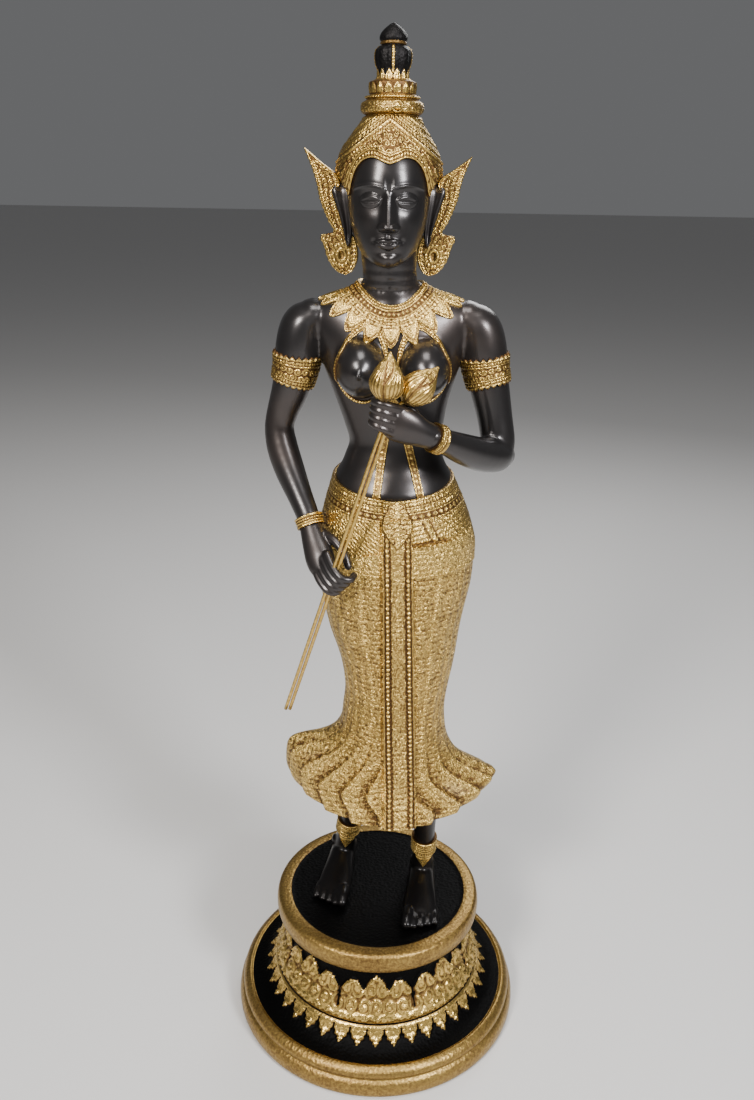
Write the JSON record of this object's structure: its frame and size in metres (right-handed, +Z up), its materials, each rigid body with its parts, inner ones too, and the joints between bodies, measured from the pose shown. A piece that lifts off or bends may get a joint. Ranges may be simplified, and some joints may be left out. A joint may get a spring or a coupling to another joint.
{
  "type": "bronze celestial lady statue",
  "caption": "Standing crowned celestial lady in dark bronze and gilt, holding lotus buds, on a round stepped plinth; a freestanding decorative casting.",
  "frame": {"origin": "the middle of the plinth's underside, on the floor", "axes": "+Z up; the figure faces -Y; +X is the side of its left hand, which holds the buds at its breast"},
  "size_m": [0.393, 0.393, 1.2508],
  "materials": {
    "dark_bronze": "near-black bronze patina with a satin gloss, its jewellery, crown and skirt gilt",
    "plinth_bronze": "worn gilt on the rim, leaves and band, near-black bronze between them",
    "gilt_bronze": "worn satin gilt with brown recesses"
  },
  "bodies": {
    "root": {"figure": "dark_bronze", "plinth": "plinth_bronze", "upright_lotus": "gilt_bronze", "leaning_lotus": "gilt_bronze"}
  },
  "joints": []
}
